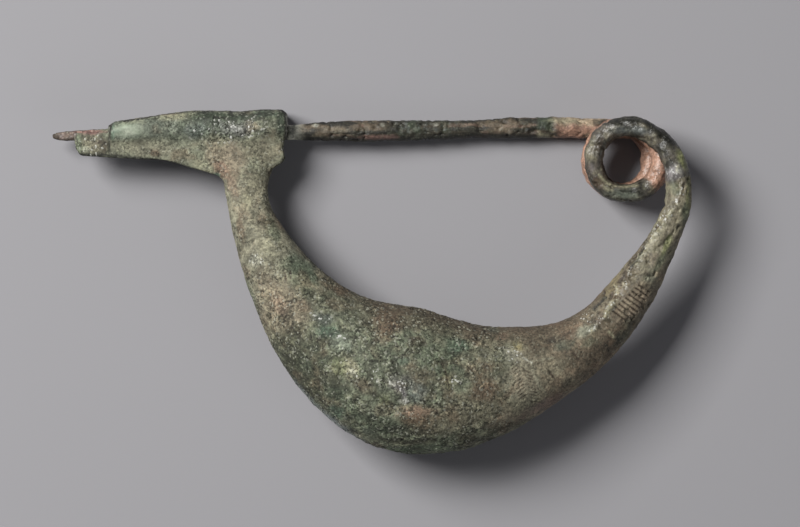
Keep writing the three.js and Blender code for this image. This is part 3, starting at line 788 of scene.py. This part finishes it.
def keep_surface(mesh, p, part, zone, field):
    """Keeps how grainy, glossy, sparkling, drawn and crumbly each point is."""
    above, sandy, glassy = zone["above"], zone["sandy"], zone["glassy"]
    grain = np.clip(sandy + 0.45 * zone["plain"] + 0.25 * zone["drawn"], 0, 1)
    grain = grain * (1 - 0.75 * zone["mint"]) + 0.6 * glassy
    keep(mesh, "grain", np.clip(grain, 0, 1))
    ridge = bell(field["ridge"], 0.4) * above
    gloss = zone["spring"] + 0.5 * zone["pin"] + 0.35 * zone["drawn"] * (part == 0)
    gloss += 0.8 * glassy + 0.8 * zone["mint"] + 0.12 * zone["plain"] + 0.5 * ridge
    keep(mesh, "gloss", np.clip(gloss, 0, 1))
    sparkle = glassy + 0.12 * sandy * zone["front"] + 0.8 * ridge
    for place in CRYSTALS:
        gap = gap_to_patch(p, *place) + 0.3 * field["crust"]
        sparkle += 0.8 * (1 - step_up(gap, 0.5, 1.2)) * above
    keep(mesh, "sparkle", np.clip(sparkle, 0, 1))
    keep(mesh, "drawn", zone["drawn"])
    crumb = sandy * above * (1 - zone["mint"]) * step_up(field["lumps"], -0.3, 0.5)
    crumb = crumb * step_up(zone["patchy"], 0.3, 0.9) + 0.8 * glassy
    keep(mesh, "crumb", np.clip(crumb, 0, 1))


def worked(obj):
    """Works grain, crust, cuts and patina into the skin."""
    mesh = obj.data
    for place in FINER_PLACES:
        finer(mesh, *place)
    p, n = points_of(mesh), normals_of(mesh)
    line, part, turns = unrolled(p)
    field = fields_of(p, line)
    zone = zones_of(p, n, line, part, turns, field)
    out = relief_of(p, part, zone, field)
    colour = patina_of(p, n, line, part, zone, field)
    # nothing leaves the solid's own box, and the flats it lies on stay flat
    low, high = np.array(cad_box[0]) / MM, np.array(cad_box[1]) / MM
    q = np.clip(p + n * out[:, None], low + INSIDE, high - INSIDE)
    q[:, 2] = np.where(p[:, 2] < FLAT_UNDER, p[:, 2], q[:, 2])
    put_points(mesh, q)
    keep(mesh, "patina", light_of(colour), "FLOAT_COLOR")
    keep(mesh, "line", line, "FLOAT_VECTOR")
    keep_surface(mesh, p, part, zone, field)
    return obj


def thinned(obj):
    """Takes out the vertices that the shape needs least, at millimetre size."""
    mesh = obj.data
    mesh.vertices.foreach_set("co", points_of(mesh).astype(np.float32).ravel())
    count = sum(len(face.vertices) - 2 for face in mesh.polygons)
    less = obj.modifiers.new("thin the net", "DECIMATE")
    less.ratio = SKIN_TRIANGLES / count
    baked(obj)
    # back from millimetres
    mesh = obj.data
    flat = np.empty(len(mesh.vertices) * 3, np.float32)
    mesh.vertices.foreach_get("co", flat)
    mesh.vertices.foreach_set("co", flat * MM)
    mesh.update()
    return obj


# ------------------------------------------------------------------ the patinated bronze
def node(tree, kind, inputs=None, **settings):
    """One node: values are set on its sockets, and sockets are linked to them."""
    made = tree.nodes.new(kind)
    for name, value in settings.items():
        setattr(made, name, value)
    for place, value in (inputs or {}).items():
        if isinstance(value, bpy.types.NodeSocket):
            tree.links.new(value, made.inputs[place])
        else:
            made.inputs[place].default_value = value
    return made


def times(tree, first, second):
    return node(tree, "ShaderNodeMath", {0: first, 1: second}, operation="MULTIPLY").outputs[0]


def plus(tree, first, second):
    return node(tree, "ShaderNodeMath", {0: first, 1: second}, operation="ADD").outputs[0]


def swing(tree, value, amount):
    """How far a value lies from its middle of a half, times an amount."""
    off = node(tree, "ShaderNodeMath", {0: value, 1: 0.5}, operation="SUBTRACT").outputs[0]
    return times(tree, off, amount)


def between(tree, value, low, high, to_low=0.0, to_high=1.0):
    """A value carried over from one range to another, held at its ends."""
    return node(tree, "ShaderNodeMapRange", {
        "Value": value, "From Min": low, "From Max": high, "To Min": to_low, "To Max": to_high,
    }).outputs["Result"]


def held(tree, value, low, high):
    return node(tree, "ShaderNodeClamp", {"Value": value, "Min": low, "Max": high}).outputs[0]


def laid_over(tree, amount, first, second):
    made = node(tree, "ShaderNodeMix", {0: amount, 6: first, 7: second}, data_type="RGBA")
    return made.outputs[2]


def clouds(tree, place, scale, detail, roughness):
    return node(tree, "ShaderNodeTexNoise", {
        "Vector": place, "Scale": scale, "Detail": detail, "Roughness": roughness,
    }).outputs["Fac"]


def kept(tree, name, output="Fac"):
    return node(tree, "ShaderNodeAttribute", attribute_name=name).outputs[output]


def patinated_bronze(name, tone=1.0, pale_and_painted_shine=0.8):
    """Bronze under patina and crust: speckle, pale and dark grains, long marks, painted sparkle."""
    paint = bpy.data.materials.new(name)
    paint.use_nodes = True
    tree = paint.node_tree
    shader = tree.nodes["Principled BSDF"]
    place = node(tree, "ShaderNodeTexCoord").outputs["Object"]
    grain, gloss = kept(tree, "grain"), kept(tree, "gloss")
    drawn, sparkle = kept(tree, "drawn"), kept(tree, "sparkle")
    speckle = clouds(tree, place, SPECKS, 3.0, 0.75)
    dust = clouds(tree, place, DUST_SPOTS, 4.0, 0.65)
    seeds = node(tree, "ShaderNodeTexVoronoi", {"Vector": place, "Scale": SINGLE_GRAINS})
    pick = node(tree, "ShaderNodeSeparateColor", {"Color": seeds.outputs["Color"]})
    marks_at = node(tree, "ShaderNodeMapping", {
        "Vector": kept(tree, "line", "Vector"), "Scale": (0.7, 2.6, 2.6)}).outputs["Vector"]
    marks = clouds(tree, marks_at, 1.0, 4.0, 0.6)
    # light and dark
    specks = plus(tree, swing(tree, pick.outputs["Red"], 1.15), swing(tree, speckle, 3.0))
    specks = times(tree, specks, between(tree, grain, 0, 1, 0.25, 1))
    spots = swing(tree, dust, 1.0)
    uneven = plus(tree, plus(tree, specks, spots), times(tree, swing(tree, marks, 1.0), drawn))
    gain = held(tree, plus(tree, uneven, tone), 0.25, 2.2)
    colour = node(tree, "ShaderNodeVectorMath", {
        0: kept(tree, "patina", "Color"), "Scale": gain}, operation="SCALE").outputs[0]
    # single pale and dark grains, and bright crystals whose paleness is a painted glint
    pale = times(tree, between(tree, pick.outputs["Green"], 0.88, 0.94), grain)
    colour = laid_over(tree, times(tree, pale, 0.35), colour, PALE_GRAIN)
    dark = times(tree, between(tree, pick.outputs["Blue"], 0.84, 0.88), grain)
    colour = laid_over(tree, times(tree, dark, 0.6), colour, DARK_GRAIN)
    glint = times(tree, between(tree, pick.outputs["Green"], 0.90, 0.93), sparkle)
    colour = laid_over(tree, times(tree, glint, pale_and_painted_shine), colour, CRYSTAL_AND_PAINTED_GLINT)
    tree.links.new(colour, shader.inputs["Base Color"])
    # dull crust, shinier metal
    rough = between(tree, gloss, 0, 1, 0.82, 0.30)
    rough = plus(tree, rough, times(tree, spots, 0.25))
    rough = plus(tree, rough, times(tree, glint, -0.4))
    tree.links.new(held(tree, rough, 0.2, 1.0), shader.inputs["Roughness"])
    shader.inputs["Specular IOR Level"].default_value = 0.5
    shader.inputs["IOR"].default_value = 1.5
    # relief too fine for the net
    rise = plus(tree, times(tree, speckle, 0.6), times(tree, seeds.outputs["Distance"], -0.5))
    rise = times(tree, rise, between(tree, grain, 0, 1, 0.15, 1))
    rise = plus(tree, rise, times(tree, times(tree, marks, drawn), 1.2))
    bump = node(tree, "ShaderNodeBump", {"Height": rise, "Strength": 0.9, "Distance": 0.12 * MM})
    tree.links.new(bump.outputs["Normal"], shader.inputs["Normal"])
    return paint


# ------------------------------------------------------------------ crumbs of crust
def crumb_nodes():
    """Geometry Nodes that strew small broken grains where the skin's crumb value says."""
    group = bpy.data.node_groups.new("strew crumbs", "GeometryNodeTree")
    face = group.interface
    face.new_socket("Skin", in_out="INPUT", socket_type="NodeSocketGeometry")
    many = face.new_socket("Crumbs a square metre", in_out="INPUT", socket_type="NodeSocketFloat")
    size = face.new_socket("Crumb size", in_out="INPUT", socket_type="NodeSocketFloat")
    coat = face.new_socket("Coat", in_out="INPUT", socket_type="NodeSocketMaterial")
    face.new_socket("Crumbs", in_out="OUTPUT", socket_type="NodeSocketGeometry")
    ins = node(group, "NodeGroupInput")
    outs = node(group, "NodeGroupOutput")
    wanted = node(group, "GeometryNodeInputNamedAttribute", {"Name": "crumb"}, data_type="FLOAT")
    strewn = node(group, "GeometryNodeDistributePointsOnFaces", {
        "Mesh": ins.outputs[0], "Density": times(group, wanted.outputs[0], ins.outputs[1]),
        "Seed": 7})
    grain = node(group, "GeometryNodeMeshIcoSphere", {"Radius": ins.outputs[2], "Subdivisions": 1})
    turn = random_vector(group, 3, (0, 0, 0), (6.28, 6.28, 6.28))
    stretch = random_vector(group, 5, (0.45, 0.45, 0.35), (1.5, 1.1, 0.8))
    placed = node(group, "GeometryNodeInstanceOnPoints", {
        "Points": strewn.outputs["Points"], "Instance": grain.outputs["Mesh"],
        "Rotation": turn, "Scale": stretch})
    real = node(group, "GeometryNodeRealizeInstances", {0: placed.outputs[0]})
    # every corner is shaken a little, so no grain is a ball
    shake = random_vector(group, 11, (-1, -1, -1), (1, 1, 1))
    shift = node(group, "ShaderNodeVectorMath", {
        0: shake, "Scale": times(group, ins.outputs[2], 0.28)}, operation="SCALE")
    moved = node(group, "GeometryNodeSetPosition", {0: real.outputs[0], "Offset": shift.outputs[0]})
    coated = node(group, "GeometryNodeSetMaterial", {0: moved.outputs[0], "Material": ins.outputs[3]})
    group.links.new(coated.outputs[0], outs.inputs[0])
    return group, many.identifier, size.identifier, coat.identifier


def random_vector(group, seed, low, high):
    """One random vector a piece, the same at each run."""
    made = node(group, "FunctionNodeRandomValue", {"Seed": seed}, data_type="FLOAT_VECTOR")
    made.inputs[0].default_value = low
    made.inputs[1].default_value = high
    return made.outputs[0]


def crumbs(obj, coat):
    """The crumbs of crust that lie on the skin, as plain faces."""
    strewn = bpy.data.objects.new("crust_crumbs", obj.data.copy())
    bpy.context.collection.objects.link(strewn)
    group, many, size, skin_coat = crumb_nodes()
    work = strewn.modifiers.new("strew crumbs", "NODES")
    work.node_group = group
    work[many] = CRUMBS_PER_SQUARE_METRE
    work[size] = CRUMB_RADIUS * MM
    work[skin_coat] = coat
    baked(strewn)
    return strewn


# ------------------------------------------------------------------ floor, light and camera
# The long lens and its sensor in millimetres, and the view's width and height in metres.
LENS, SENSOR = 300, 36
VIEW_WIDTH, VIEW_HEIGHT = 0.1, 0.007


def floor():
    """A plain pale floor under the brooch."""
    bpy.ops.mesh.primitive_plane_add(size=1.6)
    plane = bpy.context.object
    plane.name = "floor"
    paper = bpy.data.materials.new("grey paper")
    paper.use_nodes = True
    shader = paper.node_tree.nodes["Principled BSDF"]
    shader.inputs["Base Color"].default_value = (0.37, 0.365, 0.385, 1)
    shader.inputs["Roughness"].default_value = 0.9
    plane.data.materials.append(paper)


def light(name, place, size, power, colour=(1, 1, 1)):
    """A square soft light that looks at the brooch."""
    data = bpy.data.lights.new(name, "AREA")
    data.size = size
    data.energy = power
    data.color = colour
    lamp = bpy.data.objects.new(name, data)
    lamp.location = place
    lamp.rotation_euler = Vector(place).to_track_quat("Z", "Y").to_euler()
    bpy.context.collection.objects.link(lamp)


def studio():
    """A soft key light from the upper left, a weak fill against it and a dim room."""
    floor()
    light("key light", (-0.403, 0.272, 0.503), 0.33, 6.2, (1.0, 0.99, 0.97))
    light("fill light", (0.486, -0.408, 0.296), 0.5, 0.6)
    world = bpy.data.worlds.new("dim room")
    bpy.context.scene.world = world
    world.use_nodes = True
    world.node_tree.nodes["Background"].inputs["Color"].default_value = (0.9, 0.92, 1, 1)
    world.node_tree.nodes["Background"].inputs["Strength"].default_value = 0.075
    bpy.context.scene.view_settings.view_transform = "Standard"


def camera():
    """Looks straight down from far off, over a width of 100 mm at half the bow's height."""
    data = bpy.data.cameras.new("camera")
    data.lens = LENS
    data.sensor_width = SENSOR
    data.clip_end = 10
    cam = bpy.data.objects.new("camera", data)
    cam.location = (3.6 * MM, 2.25 * MM, VIEW_HEIGHT + VIEW_WIDTH * LENS / SENSOR)
    bpy.context.collection.objects.link(cam)
    bpy.context.scene.camera = cam


camera()
studio()
bronze = patinated_bronze("patinated bronze")
brooch = thinned(worked(skin()))
brooch.data.materials.clear()
brooch.data.materials.append(bronze)
brooch.data.shade_smooth()
# the crumbs' copy of the bronze is darker and glints less: painted shade against the light they catch
crumb = crumbs(brooch, patinated_bronze("broken crust in painted shade", 0.66, 0.3))
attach(brooch, "root")
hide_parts("fibula")
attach(crumb, "root")
